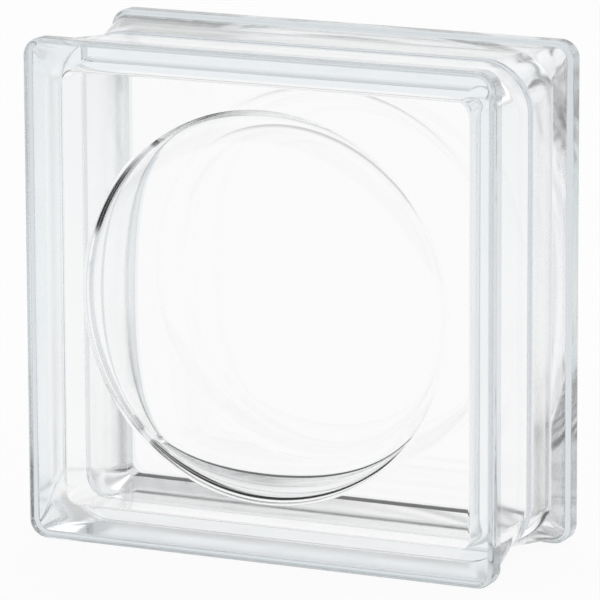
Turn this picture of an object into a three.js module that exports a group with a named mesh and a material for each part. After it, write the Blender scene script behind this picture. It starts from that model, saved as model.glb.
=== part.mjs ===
// Hollow clear glass building block: two pressed half shells, fused edge to edge at the mid seam.
// Millimetres, +Z up, +X to the right, front pane facing -Y. The origin is the centre of the foot.
import * as THREE from 'three';

// Whole block
const FACE_SIZE = 190;        // width and height over the flanges
const BLOCK_DEPTH = 80;       // front pane to back pane

// Flange: the full-size rim round each pane
const FLANGE_DEPTH = 8;       // from the pane's face to the end of the rim's lip
const FLANGE_CORNER = 7;      // corner radius of the pane's outline
const PANE_EDGE = 2;          // rounding between pane and rim
const LIP_ROUND = 1;          // rounding of the rim's inner lip
const ROOT_ROUND = 1;         // hollow rounding where the lip runs into the recess

// Recessed side wall, a channel for the mortar
const RECESS_DRAFT = 1;       // the wall leans in by this much from the flange to the seam
const SEAM_CORNER = 19;       // corner radius of the wall at the seam

// Seam bead: glass squeezed out where the halves are fused
const BEAD_HEIGHT = 0.7;      // proud of the side wall
const BEAD_WIDTH = 2.2;       // on each half, along the depth

// Cavity
const PANE_THICKNESS = 12.5;  // at the flat border of the pane
const WALL_AT_SEAM = 6.5;     // thickness of the side wall where the halves meet
const CAVITY_DRAFT = 2.7;     // the cavity narrows by this much from the seam to the pane
const MOUTH_CORNER = 9;       // corner radius of the cavity at the seam
const FLOOR_CORNER = 4.5;     // corner radius of the cavity at the pane
const CAVITY_FILLET = 1;      // between cavity wall and pane

// Round dish pressed into the inner side of each pane
const DISH_BORDER = 7.2;      // flat border between the cavity's fillet and the foot of the rim
const DISH_DEPTH = 4.65;      // how much thinner the pane is inside the dish
const RIM_HEIGHT = 0.2;       // the crest of the rim stands proud of the border
const RIM_FOOT = 1;           // from the foot of the rim to its crest
const RIM_ROUND = 0.3;        // rounding of the crest
const RIM_SLOPE = 45;         // degrees; the steepest slope, where the crest runs into the cove
const COVE_WIDTH = 26.5;      // from the flat middle of the dish out to the steepest slope
const COVE_EASE = 16.4;       // how far the cove holds the level of the flat middle
const COVE_SWEEP = 5.3;       // how far it holds the steepest slope

// Smoothness of the rounded shapes
const ARC_STEPS = 15;         // in each corner arc; a ring has four corners of ARC_STEPS + 1 points
const ROUND_STEPS = 4;        // across an edge rounding, fillet, bead or crest
const COVE_STEPS = 10;        // across the cove

const HALF_DEPTH = BLOCK_DEPTH / 2;
const FACE_HALF = FACE_SIZE / 2;
const QUARTER = Math.PI / 2;
const CORNERS = 4;

// A ring round a rounded square, at a given depth behind the pane's face.
function squareRing(halfWidth, corner, depth) {
  const ring = [];
  const centre = halfWidth - corner;
  for (let quadrant = 0; quadrant < CORNERS; quadrant += 1) {
    const middle = (quadrant + 0.5) * QUARTER;
    const centreX = centre * Math.sign(Math.cos(middle));
    const centreZ = centre * Math.sign(Math.sin(middle));
    for (let step = 0; step <= ARC_STEPS; step += 1) {
      const angle = (quadrant + step / ARC_STEPS) * QUARTER;
      const x = centreX + corner * Math.cos(angle);
      const z = centreZ + corner * Math.sin(angle);
      ring.push(new THREE.Vector3(x, depth, z));
    }
  }
  return ring;
}

// A round ring with the same number of points, so that it can be skinned to a rounded square.
function roundRing(radius, depth) {
  const count = CORNERS * (ARC_STEPS + 1);
  const ring = [];
  for (let step = 0; step < count; step += 1) {
    const angle = ((step + 0.5) / count) * 2 * Math.PI;
    ring.push(new THREE.Vector3(radius * Math.cos(angle), depth, radius * Math.sin(angle)));
  }
  return ring;
}

// Angles from 0 to a quarter turn, both ends included.
function quarterAngles(steps) {
  return Array.from({ length: steps + 1 }, (_, step) => (step / steps) * QUARTER);
}

// Rounded edge between the flat face of the pane and the flange's rim.
function paneEdge() {
  return quarterAngles(ROUND_STEPS).map((angle) => {
    const inset = PANE_EDGE * (1 - Math.sin(angle));
    const depth = PANE_EDGE * (1 - Math.cos(angle));
    return squareRing(FACE_HALF - inset, FLANGE_CORNER - inset, depth);
  });
}

// Inner lip of the flange: a convex rounding, then a hollow one down to the recess.
function flangeLip() {
  const lip = quarterAngles(ROUND_STEPS).map((angle) => {
    const inset = LIP_ROUND * (1 - Math.cos(angle));
    const depth = FLANGE_DEPTH - LIP_ROUND * (1 - Math.sin(angle));
    return squareRing(FACE_HALF - inset, FLANGE_CORNER - inset, depth);
  });
  const cove = quarterAngles(ROUND_STEPS).slice(1).map((angle) => {
    const inset = LIP_ROUND + ROOT_ROUND * Math.sin(angle);
    const depth = FLANGE_DEPTH + ROOT_ROUND * (1 - Math.cos(angle));
    return squareRing(FACE_HALF - inset, FLANGE_CORNER - inset, depth);
  });
  return [...lip, ...cove];
}

const RECESS_INSET = LIP_ROUND + ROOT_ROUND;
const SEAM_HALF = FACE_HALF - RECESS_INSET - RECESS_DRAFT;

// Seam bead: the wall arrives at its foot with large corners, then it swells to its crest.
function seamBead() {
  return quarterAngles(ROUND_STEPS).map((angle) => {
    const swell = BEAD_HEIGHT * Math.sin(angle);
    const depth = HALF_DEPTH - BEAD_WIDTH * Math.cos(angle);
    return squareRing(SEAM_HALF + swell, SEAM_CORNER + swell, depth);
  });
}

// Cavity: mouth at the seam, drafted wall, and a fillet into the flat border of the pane.
function cavityWall() {
  const mouthHalf = SEAM_HALF - WALL_AT_SEAM;
  const floorHalf = mouthHalf - CAVITY_DRAFT;
  const mouth = squareRing(mouthHalf, MOUTH_CORNER, HALF_DEPTH);
  const fillet = quarterAngles(ROUND_STEPS).map((angle) => {
    const inset = CAVITY_FILLET * (1 - Math.cos(angle));
    const depth = PANE_THICKNESS + CAVITY_FILLET * (1 - Math.sin(angle));
    return squareRing(floorHalf - inset, FLOOR_CORNER - inset, depth);
  });
  return [mouth, ...fillet];
}

// Dish: a low rounded rim, then a cove that falls steeply and eases into the flat middle of the pane.
function paneDish() {
  const floorHalf = SEAM_HALF - WALL_AT_SEAM - CAVITY_DRAFT;
  const footRadius = floorHalf - CAVITY_FILLET - DISH_BORDER;
  const crestRadius = footRadius - RIM_FOOT;
  const crestDepth = PANE_THICKNESS + RIM_HEIGHT;
  const steepest = THREE.MathUtils.degToRad(RIM_SLOPE);

  const foot = roundRing(footRadius, PANE_THICKNESS);
  const crest = Array.from({ length: ROUND_STEPS }, (_, step) => {
    const slope = (step / ROUND_STEPS) * steepest;
    const radius = crestRadius - RIM_ROUND * Math.sin(slope);
    return roundRing(radius, crestDepth - RIM_ROUND * (1 - Math.cos(slope)));
  });

  const coveTop = new THREE.Vector2(
    crestRadius - RIM_ROUND * Math.sin(steepest),
    crestDepth - RIM_ROUND * (1 - Math.cos(steepest)),
  );
  const coveEnd = new THREE.Vector2(coveTop.x - COVE_WIDTH, PANE_THICKNESS - DISH_DEPTH);
  const sweep = new THREE.Vector2(Math.cos(steepest), Math.sin(steepest)).multiplyScalar(COVE_SWEEP);
  const cove = new THREE.CubicBezierCurve(
    coveTop,
    coveTop.clone().sub(sweep),
    coveEnd.clone().add(new THREE.Vector2(COVE_EASE, 0)),
    coveEnd,
  );
  const coveRings = cove.getPoints(COVE_STEPS).map((point) => roundRing(point.x, point.y));
  return [foot, ...crest, ...coveRings];
}

// Closed skin through a row of rings, capped at the middle of the first and the last one.
function skin(rings) {
  const count = rings[0].length;
  const points = rings.flat();
  const firstPole = points.length;
  const lastPole = firstPole + 1;
  points.push(new THREE.Vector3(0, rings[0][0].y, 0));
  points.push(new THREE.Vector3(0, rings.at(-1)[0].y, 0));
  const lastRing = (rings.length - 1) * count;
  const index = [];
  for (let step = 0; step < count; step += 1) {
    const next = (step + 1) % count;
    index.push(firstPole, step, next);
    for (let start = 0; start < lastRing; start += count) {
      index.push(start + next, start + step, start + count + step);
      index.push(start + next, start + count + step, start + count + next);
    }
    index.push(lastRing + next, lastRing + step, lastPole);
  }
  const geometry = new THREE.BufferGeometry().setFromPoints(points);
  geometry.setIndex(index);
  geometry.computeVertexNormals();
  return geometry;
}

function clearGlass() {
  return new THREE.MeshStandardMaterial({
    color: 0xe9eef0,
    roughness: 0.03,
    metalness: 0,
    transparent: true,
    opacity: 0.35,
  });
}

// One pressed half shell, with its pane in the plane y = 0 and its open side towards +Y.
function halfShell(name) {
  const rings = [...paneEdge(), ...flangeLip(), ...seamBead(), ...cavityWall(), ...paneDish()];
  const shell = new THREE.Mesh(skin(rings), clearGlass());
  shell.name = name;
  return shell;
}

const frontHalf = halfShell('front_half');
frontHalf.position.set(0, -HALF_DEPTH, FACE_HALF);

const backHalf = halfShell('back_half');
backHalf.position.set(0, HALF_DEPTH, FACE_HALF);
backHalf.rotation.z = Math.PI;

const block = new THREE.Group();
block.add(frontHalf, backHalf);

export default block;
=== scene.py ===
# Looks of the hollow clear glass block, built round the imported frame.
# Metres, +Z up, +X to the right, front pane facing -Y, the foot's centre at the origin.
import math

import bpy
import numpy as np
from mathutils import Matrix, Vector


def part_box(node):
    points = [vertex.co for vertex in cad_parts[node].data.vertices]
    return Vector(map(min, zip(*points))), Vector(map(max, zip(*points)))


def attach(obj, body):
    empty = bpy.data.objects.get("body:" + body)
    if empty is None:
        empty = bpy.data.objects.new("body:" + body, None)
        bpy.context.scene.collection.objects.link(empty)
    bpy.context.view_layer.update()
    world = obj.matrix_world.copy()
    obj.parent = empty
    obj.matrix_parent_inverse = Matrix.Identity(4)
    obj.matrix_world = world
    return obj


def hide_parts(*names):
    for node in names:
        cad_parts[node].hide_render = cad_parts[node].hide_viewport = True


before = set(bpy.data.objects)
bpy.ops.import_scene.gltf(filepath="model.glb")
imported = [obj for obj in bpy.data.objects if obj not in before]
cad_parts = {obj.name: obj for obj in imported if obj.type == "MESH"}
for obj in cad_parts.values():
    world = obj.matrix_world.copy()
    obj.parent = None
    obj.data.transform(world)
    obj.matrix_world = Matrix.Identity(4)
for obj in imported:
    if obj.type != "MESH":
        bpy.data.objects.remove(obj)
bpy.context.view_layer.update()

MM = 0.001

# Whole block, from the frame
low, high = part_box("front_half")
FACE_HALF = (high.x - low.x) / 2
HALF_DEPTH = high.y - low.y

# Flange
FLANGE_DEPTH = 8 * MM       # from the pane's face to the end of the rim's lip
FLANGE_CORNER = 7 * MM
PANE_EDGE = 2 * MM
LIP_ROUND = 1 * MM
ROOT_ROUND = 1 * MM         # hollow rounding where the lip runs into the recess

# Recessed side wall and seam bead
RECESS_DRAFT = 1 * MM
SEAM_CORNER = 19 * MM
BEAD_HEIGHT = 0.7 * MM
BEAD_WIDTH = 2.2 * MM

# Cavity
PANE_THICKNESS = 12.5 * MM
WALL_AT_SEAM = 6.5 * MM
CAVITY_DRAFT = 2.7 * MM
MOUTH_CORNER = 9 * MM
FLOOR_CORNER = 4.5 * MM
CAVITY_FILLET = 1 * MM

# Round dish in the inner side of each pane
DISH_BORDER = 7.2 * MM
DISH_DEPTH = 4.65 * MM
RIM_HEIGHT = 0.2 * MM
RIM_FOOT = 1 * MM
RIM_ROUND = 0.3 * MM
RIM_SLOPE = math.radians(45)
COVE_WIDTH = 26.5 * MM
COVE_EASE = 16.4 * MM
COVE_SWEEP = 5.3 * MM

# Half the width of the side wall at the seam, and of the cavity at its mouth and at its floor
SEAM_HALF = FACE_HALF - LIP_ROUND - ROOT_ROUND - RECESS_DRAFT
MOUTH_HALF = SEAM_HALF - WALL_AT_SEAM
FLOOR_HALF = MOUTH_HALF - CAVITY_DRAFT

# Smoothness: glass bends light, so its mesh is much finer than the CAD solid
CORNER_STEPS = 47
RING_POINTS = 4 * (CORNER_STEPS + 1)
ROUND_STEPS = 10
COVE_STEPS = 28
QUARTER = math.pi / 2

# Glass. A finish's roughness varies in patches between its two values.
GLASS_IOR = 1.52
GLASS_TINT = (0.35, 0.45, 0.52, 1)
TINT_DENSITY = 0.12
PANE_TONE = (1, 1, 1)
# The frame's tone is painted shade: it greys the pane's flat border, where light reaches the glass from the
# darker front.
FRAME_SHADE_TONE = (0.88, 0.915, 0.935)
SIDE_TONE = (0.98, 0.985, 0.99)
# The lip's tone is painted shade: it greys the rounded rim and the step that faces the darker front.
LIP_SHADE_TONE = (0.62, 0.665, 0.69)
# The seam's tone is painted shade: it greys the bead where its sides tilt away from the light.
SEAM_SHADE_TONE = (0.6, 0.65, 0.7)
SIDE_ROUGHNESS = (0.1, 0.16)
LIP_ROUGHNESS = (0.1, 0.15)
SEAM_ROUGHNESS = (0.18, 0.24)
PATCH_SCALE = 40            # noise features a metre
WAVE_SCALE = 35             # noise features a metre
WAVE_HEIGHT = 0.02 * MM
NOISE_DETAIL = 2
NOISE_SPAN = (0.3, 0.7)     # nearly all of the noise lies between these

# Finishes of the glass, in the order of the piece's material slots
POLISHED, FRAME, SATIN, LIP, SEAM = range(5)

# Studio: how strong its light is by direction, where 1 shows as white. It fades between the two edges,
# which are the direction's share towards +Y, or upwards for those that end in _RISE.
BACKDROP_LIGHT = 0.97
BACKDROP_EDGES = (0.2, 0.6)
BACKDROP_FALL = 0.65        # the part of the backdrop's light that is left high up
BACKDROP_RISE = (0.15, 0.35)
FRONT_LIGHT = 0.4
FRONT_EDGES = (-0.7, -0.4)
TOP_LIGHT = 0.9
TOP_RISE = (0.5, 0.85)
HORIZON_LIGHT = 0.97
HORIZON_RISE = (0.1, 0.2)

# Floor
FLOOR_REACH = 3             # from the middle to each side
FLOOR_COLOUR = (0.93, 0.93, 0.93, 1)
FLOOR_ROUGHNESS = 0.7
FLOOR_WHITE = 1
FLOOR_SHARE = 0.94          # of that white against the shadow that falls on the floor
FLOOR_IN_GLASS = 0.97
# The floor as glass shows it carries painted shade: it is a little darker in front, and the crease reach
# sets a painted contact shadow next to the block's foot.
FLOOR_IN_GLASS_FRONT = 0.92
FLOOR_EDGES = (-0.25, -HALF_DEPTH)  # Y at which the front's strength ends, and the other one begins
CONTACT_SHADOW_REACH = 1 * MM       # the glass shows the floor dark this near to where the block rests
CONTACT_SHADOW_SAMPLES = 6

# Camera: where it stands, from the point it looks at on the block
AIM = Vector((-0.00075, 0, 0.0914))
CAMERA_DISTANCE = 2.1434
CAMERA_AZIMUTH = math.radians(25.55)
CAMERA_ELEVATION = math.radians(12.256)
CAMERA_ROLL = math.radians(-0.235)
SENSOR_WIDTH = 36           # in millimetres, as the lens is
LENS = 346.36

# Light crosses the block's walls many times before it comes out
LIGHT_BOUNCES = 32
GLOSSY_BOUNCES = 24


def square_ring(half_width, corner, depth):
    """Points round a rounded square, at a depth behind the pane's face."""
    centre = half_width - corner
    ring = []
    for quadrant in range(4):
        middle = (quadrant + 0.5) * QUARTER
        centre_x = math.copysign(centre, math.cos(middle))
        centre_z = math.copysign(centre, math.sin(middle))
        for step in range(CORNER_STEPS + 1):
            angle = (quadrant + step / CORNER_STEPS) * QUARTER
            x = centre_x + corner * math.cos(angle)
            z = centre_z + corner * math.sin(angle)
            ring.append((x, depth, z))
    return ring


def round_ring(radius, depth):
    """A circle with the same number of points as a rounded square."""
    angles = [(step + 0.5) / RING_POINTS * 2 * math.pi for step in range(RING_POINTS)]
    return [(radius * math.cos(a), depth, radius * math.sin(a)) for a in angles]


def quarter_angles():
    return [step / ROUND_STEPS * QUARTER for step in range(ROUND_STEPS + 1)]


def outer_rings():
    """Rings down the outside of one half, from the pane to the seam.

    Each comes with the finish of the strip that leads to it. The first one gives the pane's finish.
    """
    rings = [(square_ring(MOUTH_HALF, MOUTH_CORNER, 0), POLISHED)]
    for number, angle in enumerate(quarter_angles()):
        inset = PANE_EDGE * (1 - math.sin(angle))
        depth = PANE_EDGE * (1 - math.cos(angle))
        finish = LIP if number else FRAME
        rings.append((square_ring(FACE_HALF - inset, FLANGE_CORNER - inset, depth), finish))
    for angle in quarter_angles():
        inset = LIP_ROUND * (1 - math.cos(angle))
        depth = FLANGE_DEPTH - LIP_ROUND * (1 - math.sin(angle))
        rings.append((square_ring(FACE_HALF - inset, FLANGE_CORNER - inset, depth), LIP))
    for angle in quarter_angles()[1:]:
        inset = LIP_ROUND + ROOT_ROUND * math.sin(angle)
        depth = FLANGE_DEPTH + ROOT_ROUND * (1 - math.cos(angle))
        rings.append((square_ring(FACE_HALF - inset, FLANGE_CORNER - inset, depth), LIP))
    for number, angle in enumerate(quarter_angles()):
        swell = BEAD_HEIGHT * math.sin(angle)
        depth = HALF_DEPTH - BEAD_WIDTH * math.cos(angle)
        finish = SEAM if number else SATIN
        rings.append((square_ring(SEAM_HALF + swell, SEAM_CORNER + swell, depth), finish))
    return rings


def rim_points(foot_radius, crest_radius):
    """Radius and depth over the rim of the dish: up from the border, then round the crest."""
    points = []
    for step in range(ROUND_STEPS):
        t = step / ROUND_STEPS
        rise = RIM_HEIGHT * (3 * t * t - 2 * t**3)
        points.append((foot_radius - RIM_FOOT * t, PANE_THICKNESS + rise))
    for step in range(ROUND_STEPS):
        slope = step / ROUND_STEPS * RIM_SLOPE
        drop = RIM_ROUND * (1 - math.cos(slope))
        points.append((crest_radius - RIM_ROUND * math.sin(slope), PANE_THICKNESS + RIM_HEIGHT - drop))
    return points


def cove_points(crest_radius):
    """Radius and depth down the cove of the dish: a cubic Bezier curve from its steepest slope to level."""
    top = np.array([
        crest_radius - RIM_ROUND * math.sin(RIM_SLOPE),
        PANE_THICKNESS + RIM_HEIGHT - RIM_ROUND * (1 - math.cos(RIM_SLOPE)),
    ])
    end = np.array([top[0] - COVE_WIDTH, PANE_THICKNESS - DISH_DEPTH])
    top_handle = top - COVE_SWEEP * np.array([math.cos(RIM_SLOPE), math.sin(RIM_SLOPE)])
    end_handle = end + np.array([COVE_EASE, 0])
    points = []
    for step in range(COVE_STEPS + 1):
        t = step / COVE_STEPS
        s = 1 - t
        points.append(s**3 * top + 3 * s * s * t * top_handle + 3 * s * t * t * end_handle + t**3 * end)
    return points


def inner_rings():
    """Rings down the inside of one half, from the middle of the pane to the seam, each with its finish."""
    rings = [square_ring(MOUTH_HALF, MOUTH_CORNER, HALF_DEPTH)]
    for angle in quarter_angles():
        inset = CAVITY_FILLET * (1 - math.cos(angle))
        depth = PANE_THICKNESS + CAVITY_FILLET * (1 - math.sin(angle))
        rings.append(square_ring(FLOOR_HALF - inset, FLOOR_CORNER - inset, depth))
    foot_radius = FLOOR_HALF - CAVITY_FILLET - DISH_BORDER
    crest_radius = foot_radius - RIM_FOOT
    for radius, depth in [*rim_points(foot_radius, crest_radius), *cove_points(crest_radius)]:
        rings.append(round_ring(radius, depth))
    return [(ring, POLISHED) for ring in reversed(rings)]


def front_and_back(rings):
    """The rings of one half placed in front, then its mirror image behind, as one row through the block."""
    front = [([(x, depth - HALF_DEPTH, z) for x, depth, z in ring], finish) for ring, finish in rings]
    back = [([(x, -y, z) for x, y, z in ring], finish) for ring, finish in reversed(front)]
    # The mirrored row runs the other way, so each of its strips takes the finish of the ring it starts from
    back_rings = [ring for ring, _ in back[1:]]
    back_finishes = [finish for _, finish in back[:-1]]
    return front + list(zip(back_rings, back_finishes))


def add_skin(points, faces, finishes, rings, outward):
    """Adds a closed skin through a row of rings, capped by a fan at both ends."""
    first = len(points)
    for ring, _ in rings:
        points.extend(ring)
    last = len(points) - RING_POINTS
    front_pole = len(points)
    points.append((0, rings[0][0][0][1], 0))
    back_pole = len(points)
    points.append((0, rings[-1][0][0][1], 0))

    def add(face, finish):
        faces.append(face if outward else face[::-1])
        finishes.append(finish)

    cap_finish = rings[0][1]
    for step in range(RING_POINTS):
        following = (step + 1) % RING_POINTS
        add((front_pole, first + step, first + following), cap_finish)
        for number, (_, finish) in enumerate(rings[1:]):
            start = first + number * RING_POINTS
            end = start + RING_POINTS
            add((start + following, start + step, end + step, end + following), finish)
        add((back_pole, last + following, last + step), cap_finish)


def set_smooth_normals(mesh):
    """Normals weighted by face area, so that flat faces stay flat up to their rounded edges."""
    normals = np.zeros((len(mesh.vertices), 3))
    for face in mesh.polygons:
        weighted = np.array(face.normal) * face.area
        for vertex in face.vertices:
            normals[vertex] += weighted
    normals /= np.linalg.norm(normals, axis=1)[:, None]
    mesh.polygons.foreach_set("use_smooth", [True] * len(mesh.polygons))
    mesh.normals_split_custom_set_from_vertices(normals.tolist())


def add_object(name, data):
    added = bpy.data.objects.new(name, data)
    bpy.context.scene.collection.objects.link(added)
    return added


def make_glass_block(materials):
    points, faces, finishes = [], [], []
    add_skin(points, faces, finishes, front_and_back(outer_rings()), outward=True)
    add_skin(points, faces, finishes, front_and_back(inner_rings()), outward=False)
    mesh = bpy.data.meshes.new("glass_block")
    mesh.from_pydata([(x, y, z + FACE_HALF) for x, y, z in points], [], faces)
    mesh.polygons.foreach_set("material_index", finishes)
    for material in materials:
        mesh.materials.append(material)
    set_smooth_normals(mesh)
    return add_object("glass_block", mesh)


def map_range(tree, value, span, outcome, smooth=False):
    """Turns a value's span into another one, evenly or by a smooth step, and stays level past its ends."""
    remap = tree.nodes.new("ShaderNodeMapRange")
    if smooth:
        remap.interpolation_type = "SMOOTHSTEP"
    tree.links.new(value, remap.inputs["Value"])
    for name, number in zip(("From Min", "From Max", "To Min", "To Max"), (*span, *outcome)):
        remap.inputs[name].default_value = number
    return remap.outputs["Result"]


def math_node(tree, operation, *values):
    node = tree.nodes.new("ShaderNodeMath")
    node.operation = operation
    for socket, value in zip(node.inputs, values):
        if isinstance(value, (int, float)):
            socket.default_value = value
        else:
            tree.links.new(value, socket)
    return node.outputs["Value"]


def split_vector(tree, vector):
    split = tree.nodes.new("ShaderNodeSeparateXYZ")
    tree.links.new(vector, split.inputs["Vector"])
    return split.outputs["X"], split.outputs["Y"], split.outputs["Z"]


def noise(tree, scale):
    """Noise in the block's own space."""
    place = tree.nodes.new("ShaderNodeTexCoord")
    texture = tree.nodes.new("ShaderNodeTexNoise")
    texture.inputs["Scale"].default_value = scale
    texture.inputs["Detail"].default_value = NOISE_DETAIL
    tree.links.new(place.outputs["Object"], texture.inputs["Vector"])
    return texture.outputs["Fac"]


def add_waviness(tree, bsdf):
    bump = tree.nodes.new("ShaderNodeBump")
    bump.inputs["Distance"].default_value = WAVE_HEIGHT
    tree.links.new(noise(tree, WAVE_SCALE), bump.inputs["Height"])
    tree.links.new(bump.outputs["Normal"], bsdf.inputs["Normal"])


def add_inner_tint(tree, output):
    """A faint cool tint that grows with the length of the light's way through the glass."""
    absorption = tree.nodes.new("ShaderNodeVolumeAbsorption")
    absorption.inputs["Color"].default_value = GLASS_TINT
    absorption.inputs["Density"].default_value = TINT_DENSITY
    tree.links.new(absorption.outputs["Volume"], output.inputs["Volume"])


def new_material(name):
    material = bpy.data.materials.new(name)
    material.use_nodes = True
    tree = material.node_tree
    return material, tree, tree.nodes["Principled BSDF"], tree.nodes["Material Output"]


def glass(name, tone, roughness=None):
    """Pressed glass: satin in patches where roughness is given, and otherwise polished and faintly wavy."""
    material, tree, bsdf, output = new_material(name)
    bsdf.inputs["Base Color"].default_value = (*tone, 1)
    bsdf.inputs["Transmission Weight"].default_value = 1
    bsdf.inputs["IOR"].default_value = GLASS_IOR
    if roughness:
        patches = map_range(tree, noise(tree, PATCH_SCALE), NOISE_SPAN, roughness)
        tree.links.new(patches, bsdf.inputs["Roughness"])
    else:
        bsdf.inputs["Roughness"].default_value = 0
        add_waviness(tree, bsdf)
    add_inner_tint(tree, output)
    return material


def make_glass_finishes():
    """One finish each for the panes, the frame round them, the satin walls, the lip and the seam. The
    frame, lip and seam tones are painted shade.
    """
    return [
        glass("clear_pressed_glass", PANE_TONE),
        glass("frame_glass_painted_shade", FRAME_SHADE_TONE),
        glass("satin_side_glass", SIDE_TONE, SIDE_ROUGHNESS),
        glass("satin_lip_glass_painted_shade", LIP_SHADE_TONE, LIP_ROUGHNESS),
        glass("satin_seam_glass_painted_shade", SEAM_SHADE_TONE, SEAM_ROUGHNESS),
    ]


def make_floor_material():
    """A white floor that keeps the block's shadow.

    Glass shows it white too, with painted shade: a little darker in front, and a painted contact shadow
    where the block rests on it.
    """
    material, tree, bsdf, output = new_material("pale_floor")
    bsdf.inputs["Roughness"].default_value = FLOOR_ROUGHNESS
    bsdf.inputs["Base Color"].default_value = FLOOR_COLOUR

    ray = tree.nodes.new("ShaderNodeLightPath")
    seen = ray.outputs["Is Camera Ray"]
    in_glass = math_node(tree, "MAXIMUM", ray.outputs["Is Glossy Ray"], ray.outputs["Is Transmission Ray"])

    place = tree.nodes.new("ShaderNodeNewGeometry")
    _, y, _ = split_vector(tree, place.outputs["Position"])
    # Painted contact shadow: ambient occlusion darkens the floor's glow, as glass shows it, near where the
    # block rests.
    painted_contact_shadow = tree.nodes.new("ShaderNodeAmbientOcclusion")
    painted_contact_shadow.samples = CONTACT_SHADOW_SAMPLES
    painted_contact_shadow.inputs["Distance"].default_value = CONTACT_SHADOW_REACH
    glass_white_with_painted_shade = map_range(tree, y, FLOOR_EDGES, (FLOOR_IN_GLASS_FRONT, FLOOR_IN_GLASS), smooth=True)
    glass_white_with_painted_shade = math_node(tree, "MULTIPLY", glass_white_with_painted_shade, painted_contact_shadow.outputs["AO"])

    white = tree.nodes.new("ShaderNodeEmission")
    seen_white = math_node(tree, "MULTIPLY", seen, FLOOR_WHITE)
    strength = math_node(tree, "MAXIMUM", seen_white, math_node(tree, "MULTIPLY", in_glass, glass_white_with_painted_shade))
    tree.links.new(strength, white.inputs["Strength"])

    mix = tree.nodes.new("ShaderNodeMixShader")
    share = math_node(tree, "MAXIMUM", math_node(tree, "MULTIPLY", seen, FLOOR_SHARE), in_glass)
    tree.links.new(share, mix.inputs["Fac"])
    tree.links.new(bsdf.outputs["BSDF"], mix.inputs[1])
    tree.links.new(white.outputs["Emission"], mix.inputs[2])
    tree.links.new(mix.outputs["Shader"], output.inputs["Surface"])
    return material


def make_floor():
    mesh = bpy.data.meshes.new("floor")
    signs = ((-1, -1), (1, -1), (1, 1), (-1, 1))
    mesh.from_pydata([(x * FLOOR_REACH, y * FLOOR_REACH, 0) for x, y in signs], [], [(0, 1, 2, 3)])
    mesh.materials.append(make_floor_material())
    add_object("floor", mesh)


def make_world():
    """A bright-field studio: white behind, above and round the horizon, darker at the sides and front."""
    world = bpy.data.worlds.new("studio")
    bpy.context.scene.world = world
    world.use_nodes = True
    tree = world.node_tree
    direction = tree.nodes.new("ShaderNodeTexCoord")
    _, y, z = split_vector(tree, direction.outputs["Generated"])

    def light_between(share, edges, outcome):
        return map_range(tree, share, edges, outcome, smooth=True)

    backdrop = light_between(y, BACKDROP_EDGES, (0, BACKDROP_LIGHT))
    fall = light_between(z, BACKDROP_RISE, (1, BACKDROP_FALL))
    backdrop = math_node(tree, "MULTIPLY", backdrop, fall)
    front = light_between(y, FRONT_EDGES, (FRONT_LIGHT, 0))
    top = light_between(z, TOP_RISE, (0, TOP_LIGHT))
    horizon = light_between(z, HORIZON_RISE, (HORIZON_LIGHT, 0))
    light = math_node(tree, "ADD", math_node(tree, "ADD", backdrop, front), top)
    light = math_node(tree, "MAXIMUM", light, horizon)
    ray = tree.nodes.new("ShaderNodeLightPath")
    light = math_node(tree, "MAXIMUM", light, ray.outputs["Is Camera Ray"])
    tree.links.new(light, tree.nodes["Background"].inputs["Strength"])
    tree.nodes["Background"].inputs["Color"].default_value = (1, 1, 1, 1)


def make_camera():
    away = Vector((
        math.sin(CAMERA_AZIMUTH) * math.cos(CAMERA_ELEVATION),
        -math.cos(CAMERA_AZIMUTH) * math.cos(CAMERA_ELEVATION),
        math.sin(CAMERA_ELEVATION),
    ))
    camera = bpy.data.cameras.new("camera")
    camera.sensor_width = SENSOR_WIDTH
    camera.lens = LENS
    seat = add_object("camera", camera)
    turn = away.to_track_quat("Z", "Y").to_matrix().to_4x4() @ Matrix.Rotation(CAMERA_ROLL, 4, "Z")
    seat.matrix_world = Matrix.Translation(AIM + away * CAMERA_DISTANCE) @ turn
    bpy.context.scene.camera = seat


make_camera()
make_floor()
make_world()

block = make_glass_block(make_glass_finishes())
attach(block, "root")
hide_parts("front_half", "back_half")

scene = bpy.context.scene
scene.view_settings.view_transform = "Standard"
scene.cycles.max_bounces = LIGHT_BOUNCES
scene.cycles.transmission_bounces = LIGHT_BOUNCES
scene.cycles.glossy_bounces = GLOSSY_BOUNCES
